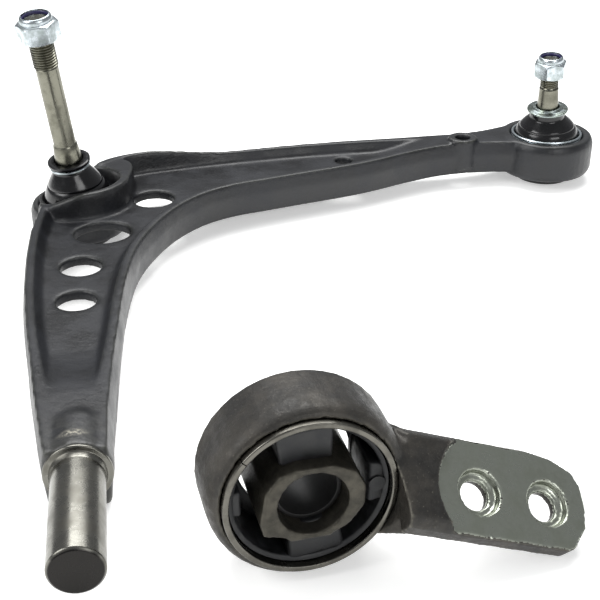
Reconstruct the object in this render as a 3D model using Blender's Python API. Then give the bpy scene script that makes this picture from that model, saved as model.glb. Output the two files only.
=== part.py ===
"""Front control arm with two ball joints, and the bracket and bush that carry its rear pin.

The arm lies flat: +Z is up, X runs from the inner ball joint to the outer one, and the rear pin
points along -Y. The origin is the centre of the rear pin's end face. Heights are counted from the
table the set lies on, and the whole set is then lowered by the height of the pin's axis.
"""
import math

import bmesh
import bpy
from mathutils import Matrix, Quaternion, Vector

MM = 0.001

# ---- fits shared by all the pieces ----
GAP = 0.3 * MM                    # between two pieces that touch
THROUGH = 4 * MM                  # how far a cutter runs past the material it cuts

# ---- arm forging ----
WEB_TOP = 24 * MM                 # top of the thin web above the table
WEB_THICKNESS = 6 * MM
RIM_HEIGHT = 7 * MM               # the rims stand this much above the web
RIM_WIDTH = 8 * MM
RIM_TAPER = 3.5 * MM              # slope of the rim's inner wall, in plan
LEG_DEPTH = 22 * MM               # rim top to underside
SIDE_DRAFT = 1.6 * MM             # the sides lean in this much above and below the parting line
PARTING_DROP = 9 * MM             # parting line below the rim top
INNER_EYE = (-2.5 * MM, 326 * MM)   # ball joint to the subframe, in plan
OUTER_EYE = (311 * MM, 377 * MM)    # ball joint to the steering knuckle, in plan
EYE_RADIUS = 29 * MM
OUTER_EYE_RADIUS = 31.5 * MM
OUTER_EYE_RISE = 0.8 * MM         # the outer eye stands this much above the leg
EYE_BITE = 3.4 * MM               # the leg reaches this far into an eye's wall
EYE_FLOOR = 6 * MM                # underside of the wide part of an eye
JOINT_WALL_HEIGHT = 16 * MM       # raised wall round the front of the inner joint, above the web
JOINT_WALL_FLARE = 2 * MM         # how much wider it is at its foot
FAR_RIM_LIFT = 6.5 * MM           # the far rim is this much higher beside the inner joint
LINK_HOLE_RADIUS = 5.5 * MM       # drilled through the long leg's web
LINK_HOLE_AT = (0.545, 0.60)      # share along the long leg, and across it
BOSS_RADIUS = 9.6 * MM
BOSS_RISE = 2.5 * MM
BOSS_HOLE_RADIUS = 5 * MM
BOSS_AT = (0.807, 0.32)

# ---- rear pin, turned on the end of the leg ----
PIN_RADIUS = 11 * MM
PIN_LENGTH = 57 * MM
PIN_AXIS_Z = 19.5 * MM
PIN_CHAMFER = 1.2 * MM
SHOULDER_RADIUS = 14.6 * MM
SHOULDER_LENGTH = 24 * MM
BELLY_DEPTH = 31 * MM             # rim top to underside where the leg meets the pin
BELLY_AT = 92 * MM                # its lowest point, along the leg

# ---- lightening holes: centre in plan, radius ----
ROUND_HOLES = (
    (-2.4 * MM, 198 * MM, 10.3 * MM),
    (-0.5 * MM, 237 * MM, 11.2 * MM),
    (42.3 * MM, 322.5 * MM, 12.1 * MM),
)
OVAL_HOLE_AT = (11.2 * MM, 278.5 * MM)
OVAL_HOLE_HALF = (16.2 * MM, 14.2 * MM)

# ---- ball joints ----
BALL_RADIUS = 11 * MM
CUP_WALL = 2.2 * MM
BALL_CENTRE_Z = 21 * MM
BALL_NECK_RADIUS = 5.5 * MM
NECK_LENGTH = 15 * MM             # ball centre to the foot of the shank
LIP_RISE = 9 * MM                 # housing mouth above the ball centre
LIP_RADIUS = 14.5 * MM            # outside of the lip round the mouth
INNER_SEAT_RISE = 2 * MM          # boot's seat above the ball centre
OUTER_SEAT_RISE = 6.5 * MM
CUP_OPENING = math.radians(50)
COVER_THICKNESS = 2.4 * MM
SPRING_THICKNESS = 1.1 * MM
HUB_RADIUS = 19 * MM              # the round lower part of each housing
NUT_CHAMFER = 0.9 * MM
NUT_COLLAR = 0.22                 # share of a lock nut's height that is its round collar

INNER_LEAN = (6.0, 8.5)           # degrees at rest: towards -X, towards -Y
OUTER_LEAN = (4.5, 6.0)

# ---- inner stud: heights above the ball centre, and radii ----
INNER_COLLAR_TOP = 43 * MM
INNER_THREAD_AT = 92.5 * MM
INNER_NUT_AT = 108 * MM
INNER_NUT_HEIGHT = 14.5 * MM
INNER_NUT_FLATS = 21 * MM
INNER_CONE_RADIUS = 8.2 * MM
INNER_SHANK_RADIUS = 6.4 * MM
INNER_THREAD_RADIUS = 6.9 * MM
INNER_LIP_AT = 32.5 * MM          # top of the boot

# ---- outer stud ----
OUTER_TAPER_AT = 26 * MM
OUTER_TAPER_TOP = 44 * MM
OUTER_NUT_AT = 52 * MM
OUTER_NUT_HEIGHT = 14 * MM
OUTER_NUT_FLATS = 19 * MM
OUTER_TAPER_RADIUS = 7.4 * MM
OUTER_TAPER_END = 6.3 * MM
OUTER_THREAD_RADIUS = 5.9 * MM
COLLAR_RADIUS = 13.5 * MM         # flanged seal collar round the foot of the taper
COLLAR_HEIGHT = 3 * MM
OUTER_LIP_AT = 27.5 * MM

# ---- rubber boots ----
BOOT_WALL = 1.6 * MM
INNER_BOOT_BASE = 20.5 * MM
INNER_BOOT_LIP = 12.5 * MM
BOOT_NECK_SHARE = 0.80            # above this share of its height a boot is its neck
OUTER_BOOT_BASE = 20.8 * MM
OUTER_BOOT_TOP = 11.5 * MM
WIRE = 1.0 * MM                   # radius of the clamp rings' wire
CLAMP_OFFSET = 2.0 * MM           # from the boot's foot out to the wire's centre
CLAMP_RISE = 2.4 * MM
BOOT_SEAT_DEPTH = 2.5 * MM        # the inner eye's top above the boot's seat

# ---- bracket ----
BRACKET_AT = (85.5 * MM, 3.5 * MM)  # front of the bush axis, in plan
BRACKET_TURN = 5.9                # degrees: the bush axis against the rear pin's
RING_RADIUS = 38 * MM
RING_LENGTH = 30 * MM
RING_CROWN = (3.9 * MM, 9 * MM)   # rounding of the ring's ends: inward, and along its axis
RING_SETBACK = 2.5 * MM           # the sleeve stands out of the ring by this
SLEEVE_RADIUS = 33 * MM
SLEEVE_WALL = 2.4 * MM
SLEEVE_LENGTH = 35 * MM
LUG_FACE_AT = (65.2 * MM, -1.3 * MM, -8.5 * MM)  # near hole, from the front of the bush axis
LUG_TURN = -2.2                   # degrees about Z
LUG_DROP = 20.2                   # degrees downward
LUG_TWIST = 34.1                  # degrees about its own length
LUG_THICKNESS = 8 * MM
LUG_REACH = 47.5 * MM             # near hole to the tip
LUG_BACK = 19 * MM                # near hole back to the end of the milled face
LUG_LOWER = 17.8 * MM             # hole line to the lower edge
LUG_UPPER = 20.5 * MM
LUG_RAISED = 3 * MM               # unmilled skin above the milled face
LUG_BEVEL = 3.2 * MM
MILL_RADIUS = 25 * MM               # the milling cutter's run-out
BOLT_SPACING = 30.4 * MM
BOLT_HOLE_RADIUS = 6 * MM
BOLT_SEAT_RADIUS = 9 * MM
BOLT_SEAT_DEPTH = 3.5 * MM

# ---- bush ----
CORE_HALF_WIDTH = 20 * MM
CORE_HALF_HEIGHT = 16 * MM
CORE_LENGTH = 40 * MM
CORE_BORE_RADIUS = 13.3 * MM
LINER_SETBACK = 9 * MM
LAND_HALF_WIDTH = 9.5 * MM
RUBBER_LENGTH = 29 * MM
RUBBER_SKIN = 1.8 * MM
STOP_PAD_HALF_HEIGHT = 9 * MM
BACK_WEB = (4 * MM, 2.5 * MM)     # thin web behind the voids: in from the rubber's back, thickness

SEGMENTS = 40                     # around the large round pieces
FINE_SEGMENTS = 24                # around studs, nuts and small holes


# ---------------------------------------------------------------- scene and materials
def clear_scene():
    for obj in list(bpy.data.objects):
        bpy.data.objects.remove(obj, do_unlink=True)


def make_material(name, colour, roughness, metallic):
    material = bpy.data.materials.new(name)
    material.use_nodes = True
    shader = material.node_tree.nodes["Principled BSDF"]
    shader.inputs["Base Color"].default_value = (*colour, 1)
    shader.inputs["Roughness"].default_value = roughness
    shader.inputs["Metallic"].default_value = metallic
    return material


def make_materials():
    table = {
        "arm_paint": ((0.018, 0.019, 0.023), 0.42, 0.0),
        "forged_iron": ((0.060, 0.056, 0.052), 0.50, 0.8),
        "turned_steel": ((0.46, 0.45, 0.41), 0.24, 1.0),
        "zinc_plate": ((0.60, 0.66, 0.68), 0.26, 1.0),
        "nut_nylon": ((0.035, 0.030, 0.130), 0.40, 0.0),
        "boot_rubber": ((0.010, 0.010, 0.012), 0.28, 0.0),
        "bush_rubber": ((0.020, 0.022, 0.027), 0.50, 0.0),
        "core_casting": ((0.110, 0.105, 0.092), 0.40, 0.9),
        "bearing_plastic": ((0.62, 0.60, 0.52), 0.45, 0.0),
    }
    return {name: make_material(name, *values) for name, values in table.items()}


def add_object(name, bm, material=None, parent=None):
    """A mesh object from bm, with its normals facing out and round faces shaded smooth."""
    bmesh.ops.remove_doubles(bm, verts=bm.verts, dist=1e-7)
    bmesh.ops.recalc_face_normals(bm, faces=bm.faces)
    mesh = bpy.data.meshes.new(name)
    bm.to_mesh(mesh)
    bm.free()
    mesh.shade_smooth()
    mesh.set_sharp_from_angle(angle=math.radians(35))
    if material:
        mesh.materials.append(material)
    obj = bpy.data.objects.new(name, mesh)
    bpy.context.collection.objects.link(obj)
    obj.parent = parent
    return obj


def add_empty(name, matrix, parent=None):
    empty = bpy.data.objects.new(name, None)
    empty.empty_display_size = 0.02
    bpy.context.collection.objects.link(empty)
    empty.parent = parent
    empty.matrix_local = matrix
    return empty


def combine(target, tool, operation):
    """Join tool to target, or cut it away, and keep the tool as a hidden guide."""
    tool.hide_render = True
    tool.display_type = "WIRE"
    modifier = target.modifiers.new(f"{operation.lower()} {tool.name}", "BOOLEAN")
    modifier.operation = operation
    modifier.object = tool
    modifier.solver = "EXACT"


# ---------------------------------------------------------------- shapes
def turned(profile, segments=SEGMENTS, closed=False):
    """Revolve (radius, height) points about Z. An open profile starts and ends on the axis."""
    bm = bmesh.new()
    verts = [bm.verts.new((radius, 0, height)) for radius, height in profile]
    edges = [bm.edges.new(pair) for pair in zip(verts, verts[1:])]
    if closed:
        edges.append(bm.edges.new((verts[-1], verts[0])))
    bmesh.ops.spin(bm, geom=verts + edges, cent=(0, 0, 0), axis=(0, 0, 1),
                   angle=2 * math.pi, steps=segments, use_duplicate=False)
    bmesh.ops.remove_doubles(bm, verts=bm.verts, dist=1e-7)
    return bm


def tube(outer, inner, low, high, segments=SEGMENTS):
    return turned([(outer, low), (outer, high), (inner, high), (inner, low)], segments, closed=True)


def disc(radius, low, high, segments=SEGMENTS):
    return turned([(0, low), (radius, low), (radius, high), (0, high)], segments)


def arc(radius, start, end, steps, centre=(0, 0)):
    """Points of an arc in the profile plane; angles in radians from the profile's first axis."""
    angles = [start + (end - start) * i / steps for i in range(steps + 1)]
    return [(centre[0] + radius * math.cos(a), centre[1] + radius * math.sin(a)) for a in angles]


def torus(ring_radius, wire_radius, height, segments=SEGMENTS, around=6):
    points = arc(wire_radius, 0, 2 * math.pi, around, (ring_radius, height))[:-1]
    return turned(points, segments, closed=True)


def prism(outline, low, high):
    """Extrude a plan outline of (x, y) points from one level to another."""
    bm = bmesh.new()
    face = bm.faces.new([bm.verts.new((x, y, low)) for x, y in outline])
    moved = bmesh.ops.extrude_face_region(bm, geom=[face])["geom"]
    bmesh.ops.translate(bm, vec=(0, 0, high - low),
                        verts=[v for v in moved if isinstance(v, bmesh.types.BMVert)])
    return bm


def joined(*shapes):
    """Several separate closed shapes in one bmesh."""
    bm = bmesh.new()
    for shape in shapes:
        scratch = bpy.data.meshes.new("scratch")
        shape.to_mesh(scratch)
        shape.free()
        bm.from_mesh(scratch)
        bpy.data.meshes.remove(scratch)
    return bm


def ellipse(centre, half_x, half_y, segments=FINE_SEGMENTS):
    turns = [2 * math.pi * i / segments for i in range(segments)]
    return [(centre[0] + half_x * math.cos(a), centre[1] + half_y * math.sin(a)) for a in turns]


def moved(bm, matrix):
    bmesh.ops.transform(bm, matrix=matrix, verts=bm.verts)
    return bm


def smooth_run(points, steps):
    """A Catmull-Rom curve through the points, with steps spans between neighbours."""
    ends = [2 * points[0] - points[1], *points, 2 * points[-1] - points[-2]]
    run = []
    for a, b, c, d in zip(ends, ends[1:], ends[2:], ends[3:]):
        for i in range(steps):
            t = i / steps
            run.append(0.5 * (2 * b + (c - a) * t + (2 * a - 5 * b + 4 * c - d) * t ** 2
                              + (3 * b - a - 3 * c + d) * t ** 3))
    run.append(points[-1])
    return run


# ---------------------------------------------------------------- arm forging
def leg_stations():
    """Pairs of edge points, near and far, from the pin's shoulder round the bend to the outer eye.

    The rear leg's points are shares of its length, with their distance from the pin's axis. The
    long leg's are shares of the span between the eyes, with their distance from the outer eye.
    """
    rise = INNER_EYE[1] - PIN_LENGTH
    span = OUTER_EYE[0] - INNER_EYE[0]
    rear = [  # share of the rise, near x, share of the rise, far x
        (0.000, 13.8, 0.000, -14.2), (0.057, 14.2, 0.051, -16.2), (0.115, 14.6, 0.115, -18.3),
        (0.197, 15.9, 0.197, -21.0), (0.298, 18.0, 0.298, -23.6), (0.394, 20.4, 0.394, -26.4),
        (0.487, 22.6, 0.487, -28.4), (0.584, 26.0, 0.595, -29.7), (0.681, 31.2, 0.718, -30.0),
        (0.772, 40.5, 0.847, -28.0), (0.863, 54.5, 0.983, -20.0),
    ]
    long = [  # share of the span, near y below the outer eye, share of the span, far y
        (0.237, 69.5, 0.034, -22.0), (0.300, 58.5, 0.090, -10.5), (0.365, 53.0, 0.160, -5.5),
        (0.437, 47.0, 0.248, -1.0), (0.502, 42.0, 0.356, 3.5), (0.566, 36.5, 0.464, 7.0),
        (0.617, 30.5, 0.575, 8.8), (0.660, 24.5, 0.662, 9.3), (0.735, 16.0, 0.735, 9.6),
        (0.800, 12.6, 0.800, 10.4), (0.862, 12.8, 0.868, 14.0), (0.915, 15.5, 0.930, 21.0),
        (0.970, 18.0, 0.970, 22.0),
    ]
    pairs = [(Vector((x * MM, PIN_LENGTH + share * rise)), Vector((far * MM, PIN_LENGTH + far_share * rise)))
             for share, x, far_share, far in rear]
    pairs += [(Vector((INNER_EYE[0] + share * span, OUTER_EYE[1] - drop * MM)),
               Vector((INNER_EYE[0] + far_share * span, OUTER_EYE[1] + lift * MM)))
              for share, drop, far_share, lift in long]
    return pairs


def ease(value, start, end):
    """0 before start, 1 after end, and a smooth rise between them."""
    t = min(max((value - start) / (end - start), 0), 1)
    return t * t * (3 - 2 * t)


def pocket_share(place):
    """How deep the channel is, from 0 to 1, at a place along the leg from 0 to 1."""
    return min(ease(place, 0.115, 0.19), 1 - ease(place, 0.75, 0.83))


def underside(point):
    """Underside level: deepest under the belly by the pin, and higher along the legs."""
    top = WEB_TOP + RIM_HEIGHT
    away = abs(point.y - BELLY_AT)
    share = 1 - ease(away, 20 * MM, 75 * MM) if point.y > BELLY_AT else 1 - 0.25 * ease(away, 14 * MM, 35 * MM)
    return top - LEG_DEPTH - (BELLY_DEPTH - LEG_DEPTH) * share


def leg_section(near, far, place):
    """The closed section between two edge points: sides with draft, and a channel with rims."""
    across = (far - near).normalized()
    width = (far - near).length
    top = WEB_TOP + RIM_HEIGHT
    low = underside((near + far) / 2)
    floor = top - RIM_HEIGHT * pocket_share(place)
    draft = SIDE_DRAFT
    wall = RIM_TAPER * pocket_share(place) + 0.4 * MM
    rim = min(RIM_WIDTH, 0.25 * width)
    under_rise = (WEB_TOP - WEB_THICKNESS - low) * pocket_share(place)
    far_top = top + FAR_RIM_LIFT * ease(place, 0.455, 0.478) * (1 - ease(place, 0.543, 0.640))
    outline = [
        (draft, low), (0, top - PARTING_DROP), (draft, top), (rim - wall / 2, top),
        (rim + wall / 2, floor), (width - rim - wall / 2, floor), (width - rim + wall / 2, far_top),
        (width - draft, far_top), (width, top - PARTING_DROP), (width - draft, low),
        (width - rim + wall / 2, low), (width - rim - wall / 2, low + under_rise),
        (rim + wall / 2, low + under_rise), (rim - wall / 2, low),
    ]
    return [Vector((*(near + across * distance), level)) for distance, level in outline]


def forging_body():
    """Loft the channel section along the leg."""
    pairs = leg_stations()
    nears = smooth_run([near for near, _ in pairs], 3)
    fars = smooth_run([far for _, far in pairs], 3)
    bm = bmesh.new()
    rings = []
    for index, (near, far) in enumerate(zip(nears, fars)):
        section = leg_section(near, far, index / (len(nears) - 1))
        rings.append([bm.verts.new(point) for point in section])
    for ring, following in zip(rings, rings[1:]):
        for i in range(len(ring)):
            j = (i + 1) % len(ring)
            bm.faces.new((ring[i], ring[j], following[j], following[i]))
    bm.faces.new(rings[0])
    bm.faces.new(reversed(rings[-1]))
    return bm


def along_long_leg(share, across):
    """A plan point at a share of the span, between the long leg's near and far edges."""
    pairs = leg_stations()
    nears = smooth_run([near for near, _ in pairs], 6)
    fars = smooth_run([far for _, far in pairs], 6)
    x = INNER_EYE[0] + share * (OUTER_EYE[0] - INNER_EYE[0])
    near = min((p for p in nears if p.y > 0.8 * INNER_EYE[1]), key=lambda p: abs(p.x - x))
    far = min((p for p in fars if p.y > 0.8 * INNER_EYE[1]), key=lambda p: abs(p.x - x))
    return Vector((x, near.y + across * (far.y - near.y)))


def housing(radius, top, boot_base, seat_rise):
    """A ball joint housing, turned in one: a hub, a wide eye, the socket and the boot's seat."""
    edge = 1.8 * MM
    ball_room = BALL_RADIUS + 2 * GAP + CUP_WALL
    seat_floor = BALL_CENTRE_Z + seat_rise
    lip_top = BALL_CENTRE_Z + LIP_RISE
    seat = boot_base + CLAMP_OFFSET + WIRE + 2 * GAP
    outside = [(cover_radius() + GAP, 0), (HUB_RADIUS - 1 * MM, 0), (HUB_RADIUS, 1 * MM)]
    outside += [(HUB_RADIUS, EYE_FLOOR), (radius - 2.5 * MM, EYE_FLOOR), (radius, EYE_FLOOR + 4 * MM)]
    outside += [(radius, top - edge - 3 * MM), (radius - edge, top - 0.5 * MM), (radius - 2 * edge, top)]
    inside = [(seat + 0.6 * MM, top), (seat, top - 0.6 * MM), (seat, seat_floor)]
    inside += [(LIP_RADIUS, seat_floor), (LIP_RADIUS, lip_top)]
    inside += arc(ball_room, math.asin(LIP_RISE / ball_room), 0, 6, (0, BALL_CENTRE_Z))
    inside += [(ball_room, COVER_THICKNESS + GAP), (cover_radius() + GAP, COVER_THICKNESS + GAP)]
    return turned(outside + inside, closed=True)


def cover_radius():
    return BALL_RADIUS + CUP_WALL + 2.5 * MM


def rear_pin():
    """The turned pin with its shoulder, along -Y from inside the leg."""
    inside = SHOULDER_LENGTH + 20 * MM
    profile = [(0, 0), (PIN_RADIUS - PIN_CHAMFER, 0), (PIN_RADIUS, PIN_CHAMFER), (PIN_RADIUS, PIN_LENGTH)]
    profile += [(SHOULDER_RADIUS - 0.8 * MM, PIN_LENGTH), (SHOULDER_RADIUS, PIN_LENGTH + 0.8 * MM)]
    profile += [(SHOULDER_RADIUS, PIN_LENGTH + SHOULDER_LENGTH), (0.6 * PIN_RADIUS, PIN_LENGTH + inside)]
    profile += [(0, PIN_LENGTH + inside)]
    bm = turned(profile, FINE_SEGMENTS)
    turn = Matrix.Rotation(math.radians(-90), 4, "X")
    return moved(bm, Matrix.Translation((0, 0, PIN_AXIS_Z)) @ turn)


def joint_wall():
    """The wall that carries the near rim round the front of the inner joint and up to the far rim."""
    plan = [  # degrees round the joint, crest's outer edge beyond the eye's, share of the full height
        (216, -0.6, 0.46), (235, 1.2, 0.52), (255, 0.8, 0.76), (275, 0.8, 0.96), (300, 1.0, 1.00),
        (345, 2.0, 0.97), (360, 2.4, 0.94), (375, 5.0, 0.89), (390, 10.0, 0.85), (400, 13.5, 0.82),
        (410, 14.0, 0.81), (420, 6.0, 0.79),
    ]
    inside = EYE_RADIUS - EYE_BITE - 0.4 * MM
    foot = WEB_TOP - 0.5 * WEB_THICKNESS
    edge = 1 * MM
    bm = bmesh.new()
    rings = []
    for degrees, reach, share in smooth_run([Vector(row) for row in plan], 3):
        outer = EYE_RADIUS + reach * MM
        crest = WEB_TOP + JOINT_WALL_HEIGHT * share
        flare = JOINT_WALL_FLARE * (1 - 0.7 * ease(degrees, 325, 350))
        section = [(inside, foot), (inside, crest), (outer - edge, crest), (outer, crest - edge)]
        section.append((outer + flare, foot))
        turn = math.radians(degrees)
        rings.append([bm.verts.new((radius * math.cos(turn), radius * math.sin(turn), level))
                      for radius, level in section])
    for ring, following in zip(rings, rings[1:]):
        for i in range(len(ring)):
            j = (i + 1) % len(ring)
            bm.faces.new((ring[i], ring[j], following[j], following[i]))
    bm.faces.new(rings[0])
    bm.faces.new(reversed(rings[-1]))
    return bm


def build_arm(materials):
    """The lofted leg with its pin and boss, drilled and bitten away where the housings then go."""
    top = WEB_TOP + RIM_HEIGHT
    inner = Matrix.Translation((*INNER_EYE, 0))
    outer = Matrix.Translation((*OUTER_EYE, 0))
    boss_at = along_long_leg(*BOSS_AT)
    arm = add_object("arm_forging", forging_body(), materials["arm_paint"])
    boss = disc(BOSS_RADIUS, top - LEG_DEPTH + 4 * MM, top + BOSS_RISE, FINE_SEGMENTS)
    added = joined(rear_pin(), moved(boss, Matrix.Translation((*boss_at, 0))), moved(joint_wall(), inner))
    combine(arm, add_object("guide_pin_boss_and_wall", added), "UNION")

    high = WEB_TOP + JOINT_WALL_HEIGHT + THROUGH
    cuts = [prism(ellipse((x, y), radius, radius), -THROUGH, high) for x, y, radius in ROUND_HOLES]
    cuts.append(prism(ellipse(along_long_leg(*LINK_HOLE_AT), LINK_HOLE_RADIUS, LINK_HOLE_RADIUS),
                      -THROUGH, high))
    cuts.append(prism(ellipse(boss_at, BOSS_HOLE_RADIUS, BOSS_HOLE_RADIUS), -THROUGH, high))
    cuts.append(prism(ellipse(OVAL_HOLE_AT, *OVAL_HOLE_HALF), -THROUGH, high))
    cuts.append(moved(disc(EYE_RADIUS - EYE_BITE, -THROUGH, high), inner))
    cuts.append(moved(disc(OUTER_EYE_RADIUS - EYE_BITE, -THROUGH, high), outer))
    combine(arm, add_object("guide_holes", joined(*cuts)), "DIFFERENCE")

    inner_top = BALL_CENTRE_Z + INNER_SEAT_RISE + BOOT_SEAT_DEPTH
    outer_top = top + OUTER_EYE_RISE
    inner_housing = housing(EYE_RADIUS, inner_top, INNER_BOOT_BASE, INNER_SEAT_RISE)
    outer_housing = housing(OUTER_EYE_RADIUS, outer_top, OUTER_BOOT_BASE, OUTER_SEAT_RISE)
    housings = joined(moved(inner_housing, inner), moved(outer_housing, outer))
    combine(arm, add_object("guide_housings", housings), "UNION")


# ---------------------------------------------------------------- ball joints
def lean_frames(name, place, lean):
    """Empties on a joint's ball centre: the housing's, the rocking one's and the stud's."""
    left, forward = (math.radians(angle) for angle in lean)
    seat = add_empty(f"{name}_seat", Matrix.Translation((*place, BALL_CENTRE_Z)))
    rock = add_empty(f"{name}_rock", Matrix.Rotation(forward, 4, "X"), seat)
    stud = add_empty(f"{name}_lean", Matrix.Rotation(-left, 4, "Y"), rock)
    return seat, rock, stud


def cover_plate(name, seat, material):
    """The pressed plate that closes a socket from below."""
    low = -BALL_CENTRE_Z + 0.4 * MM
    radius = cover_radius()
    dish = 0.9 * MM
    profile = [(0, low + dish), (0.45 * radius, low + dish), (0.62 * radius, low), (radius, low)]
    profile += [(radius, low + COVER_THICKNESS - 0.4 * MM), (0.62 * radius, low + COVER_THICKNESS - 0.4 * MM)]
    profile += [(0.45 * radius, low + COVER_THICKNESS - 0.4 * MM), (0, low + COVER_THICKNESS - 0.4 * MM)]
    return add_object(f"{name}_cover_plate", turned(profile, FINE_SEGMENTS), material, seat)


def preload_spring(name, seat, material):
    """A conical disc spring between the cover plate and the bearing cup."""
    low = -BALL_CENTRE_Z + COVER_THICKNESS + GAP
    outer = BALL_RADIUS + CUP_WALL - 1.2 * MM
    inner = 5.5 * MM
    rise = BALL_CENTRE_Z - (BALL_RADIUS + GAP + CUP_WALL) - COVER_THICKNESS - 2 * GAP - SPRING_THICKNESS
    profile = [(outer, low), (outer, low + SPRING_THICKNESS), (inner, low + rise + SPRING_THICKNESS)]
    profile += [(inner, low + rise)]
    return add_object(f"{name}_preload_spring", turned(profile, FINE_SEGMENTS, closed=True), material, seat)


def bearing_cup(name, rock, material):
    """The plastic cup round the ball: a shell of a sphere, open at the top."""
    outer = BALL_RADIUS + GAP + CUP_WALL
    inner = BALL_RADIUS + GAP
    low, high = -math.pi / 2, math.pi / 2 - CUP_OPENING
    profile = arc(outer, low, high, 10) + arc(inner, high, low, 9)
    profile[0] = (0, -outer)
    profile[-1] = (0, -inner)
    return add_object(f"{name}_bearing_cup", turned(profile, FINE_SEGMENTS), material, rock)


def ball_stud(name, frame, material, shank):
    """The ball, its neck and the shank above it, given as (radius, height) points."""
    start = -math.pi / 2
    end = math.acos(BALL_NECK_RADIUS / BALL_RADIUS)
    profile = arc(BALL_RADIUS, start, end, 12)
    profile[0] = (0, -BALL_RADIUS)
    profile += [(BALL_NECK_RADIUS, NECK_LENGTH)] + shank
    profile.append((0, profile[-1][1]))
    return add_object(f"{name}_ball_stud", turned(profile, FINE_SEGMENTS), material, frame)


def lock_nut(name, frame, material, nylon, across_flats, height, bore, low):
    """A hexagon nut with a round collar, and the nylon ring held in the collar."""
    circum = across_flats / math.sqrt(3)
    body_top = low + height * (1 - NUT_COLLAR)
    collar = 0.43 * across_flats
    hexagon = [(circum * math.cos(math.radians(60 * i + 30)), circum * math.sin(math.radians(60 * i + 30)))
               for i in range(6)]
    nut = add_object(f"{name}_nut", prism(hexagon, low, body_top), material, frame)
    limit = [(0, low), (across_flats / 2, low), (circum + 0.1 * MM, low + NUT_CHAMFER)]
    limit += [(circum + 0.1 * MM, body_top - NUT_CHAMFER), (across_flats / 2, body_top), (0, body_top)]
    combine(nut, add_object(f"guide_{name}_nut_edge", turned(limit, SEGMENTS), None, frame), "INTERSECT")
    ring_low = body_top + 0.6 * MM
    top = low + height
    cap = [(0, body_top - 2 * MM), (collar, body_top - 2 * MM), (collar, top - 1.2 * MM)]
    cap += [(collar - 1.0 * MM, top), (0, top)]
    combine(nut, add_object(f"guide_{name}_nut_collar", turned(cap, FINE_SEGMENTS), None, frame), "UNION")
    seat = collar - 1.8 * MM
    hole = [(0, low - THROUGH), (bore + GAP, low - THROUGH), (bore + GAP, ring_low), (seat, ring_low)]
    hole += [(seat, top + THROUGH), (0, top + THROUGH)]
    combine(nut, add_object(f"guide_{name}_nut_hole", turned(hole, FINE_SEGMENTS), None, frame), "DIFFERENCE")
    ring = tube(seat - GAP, bore + GAP, ring_low + GAP, top - 0.9 * MM, FINE_SEGMENTS)
    add_object(f"{name}_nut_insert", ring, nylon, frame)
    return nut


def boot(name, seat, stud, material, profile, foot, lip_at):
    """A closed bell from the housing up to the stud, bent to follow the stud's lean.

    The profile gives the outside as (radius, share of the height).
    """
    lean = (seat.matrix_world.inverted() @ stud.matrix_world).to_quaternion()
    inner = [(radius - BOOT_WALL, share) for radius, share in profile]
    bm = turned(profile + inner[::-1], FINE_SEGMENTS, closed=True)
    for vert in bm.verts:
        share = vert.co.z
        turn = Quaternion().slerp(lean, min(share / BOOT_NECK_SHARE, 1))
        vert.co = turn @ Vector((vert.co.x, vert.co.y, foot + (lip_at - foot) * share))
    return add_object(f"{name}_boot", bm, material, seat)


def bell(base, neck, bulge):
    """The boot's bell as far as its neck."""
    shares = [i / 6 for i in range(7)]
    return [(base + (neck - base) * s ** 1.6 + bulge * math.sin(math.pi * s), s * BOOT_NECK_SHARE)
            for s in shares]


def base_ring(name, seat, material, base, seat_rise):
    """The wire that clamps a boot's foot in its housing."""
    ring = torus(base + CLAMP_OFFSET, WIRE, seat_rise + CLAMP_RISE)
    add_object(f"{name}_boot_base_ring", ring, material, seat)


def build_inner_joint(materials):
    seat, rock, stud = lean_frames("inner", INNER_EYE, INNER_LEAN)
    bpy.context.view_layer.update()
    cover_plate("inner", seat, materials["zinc_plate"])
    preload_spring("inner", seat, materials["turned_steel"])
    bearing_cup("inner", rock, materials["bearing_plastic"])
    shank = [(INNER_CONE_RADIUS, NECK_LENGTH + 4 * MM), (INNER_CONE_RADIUS, INNER_LIP_AT)]
    shank += [(INNER_SHANK_RADIUS + 0.5 * MM, INNER_COLLAR_TOP)]
    shank += [(INNER_SHANK_RADIUS, INNER_COLLAR_TOP + 0.5 * MM), (INNER_SHANK_RADIUS, INNER_THREAD_AT)]
    shank += [(INNER_THREAD_RADIUS, INNER_THREAD_AT + 0.5 * MM)]
    thread_end = INNER_NUT_AT + INNER_NUT_HEIGHT - 2.5 * MM
    shank += [(INNER_THREAD_RADIUS, thread_end - 1 * MM), (INNER_THREAD_RADIUS - 1 * MM, thread_end)]
    ball_stud("inner", stud, materials["turned_steel"], shank)
    lock_nut("inner", stud, materials["zinc_plate"], materials["nut_nylon"], INNER_NUT_FLATS,
             INNER_NUT_HEIGHT, INNER_THREAD_RADIUS, INNER_NUT_AT)
    neck = INNER_CONE_RADIUS + GAP + BOOT_WALL
    lip = INNER_BOOT_LIP
    profile = bell(INNER_BOOT_BASE, neck, 0.5 * MM) + [(neck, 0.92), (lip, 0.93), (lip, 1)]
    foot = INNER_SEAT_RISE + GAP
    boot("inner", seat, stud, materials["boot_rubber"], profile, foot, INNER_LIP_AT)
    groove = foot + (INNER_LIP_AT - foot) * (BOOT_NECK_SHARE + 0.92) / 2
    garter = torus(neck + WIRE + GAP, WIRE, groove, FINE_SEGMENTS)
    add_object("inner_boot_garter", garter, materials["zinc_plate"], stud)
    base_ring("inner", seat, materials["turned_steel"], INNER_BOOT_BASE, INNER_SEAT_RISE)


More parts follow.
